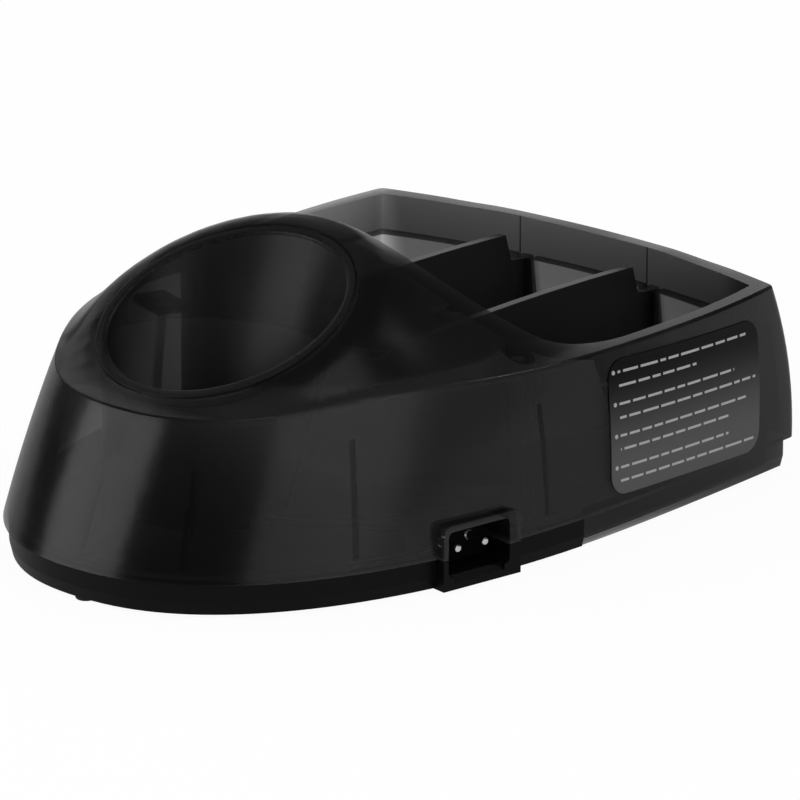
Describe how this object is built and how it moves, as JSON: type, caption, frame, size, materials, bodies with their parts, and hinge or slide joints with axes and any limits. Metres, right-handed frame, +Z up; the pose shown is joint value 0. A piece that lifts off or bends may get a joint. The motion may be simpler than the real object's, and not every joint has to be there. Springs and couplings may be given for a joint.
{
  "type": "clipper charging stand",
  "caption": "Desk stand with a tilted pocket that holds and charges a hair clipper, and a divided tray for its comb attachments.",
  "frame": {"origin": "middle of the outer box, on the table under the feet", "axes": "+Z up, +Y from the nose with the clipper pocket to the comb tray, +X to the side with the charger inlet"},
  "size_m": [0.1072, 0.1516, 0.0576],
  "materials": {
    "smoked_shell": "smoked see-through moulding, polished",
    "smoked_cup": "smoked see-through moulding, polished",
    "black_base": "fine moulded grain",
    "divider_plastic": "satin",
    "label": "printed film",
    "black_insert": "fine grain",
    "plated_pin": "nickel plated",
    "contact_metal": "nickel plated",
    "spring_steel": "drawn wire",
    "brass": "stamped strip",
    "lead_cover": "wire insulation",
    "screw_steel": "zinc plated",
    "rubber": "soft, matt"
  },
  "bodies": {
    "root": {"upper_housing": "smoked_shell", "pocket_liner": "smoked_cup", "base_cover": "black_base", "left_divider": "divider_plastic", "right_divider": "divider_plastic", "side_label": "label", "inlet_insert": "black_insert", "inlet_pin_front": "plated_pin", "inlet_pin_rear": "plated_pin", "contact_block": "black_insert", "contact_spring_left": "spring_steel", "contact_spring_right": "spring_steel", "terminal_left": "brass", "terminal_right": "brass", "lead_left": "lead_cover", "lead_right": "lead_cover", "housing_screws": "screw_steel", "block_screws": "screw_steel", "rubber_feet": "rubber"},
    "contact_left": {"contact_pin_left": "contact_metal"},
    "contact_right": {"contact_pin_right": "contact_metal"}
  },
  "joints": [
    {"name": "contact_left_press", "type": "slide", "parent": "root", "child": "contact_left", "axis": [0, 0, -1], "range_m": [0, 0.0015], "stiffness_N_per_m": 200, "springref_m": -0.0005, "deforming": ["contact_spring_left"]},
    {"name": "contact_right_press", "type": "slide", "parent": "root", "child": "contact_right", "axis": [0, 0, -1], "range_m": [0, 0.0015], "stiffness_N_per_m": 200, "springref_m": -0.0005, "deforming": ["contact_spring_right"]}
  ]
}
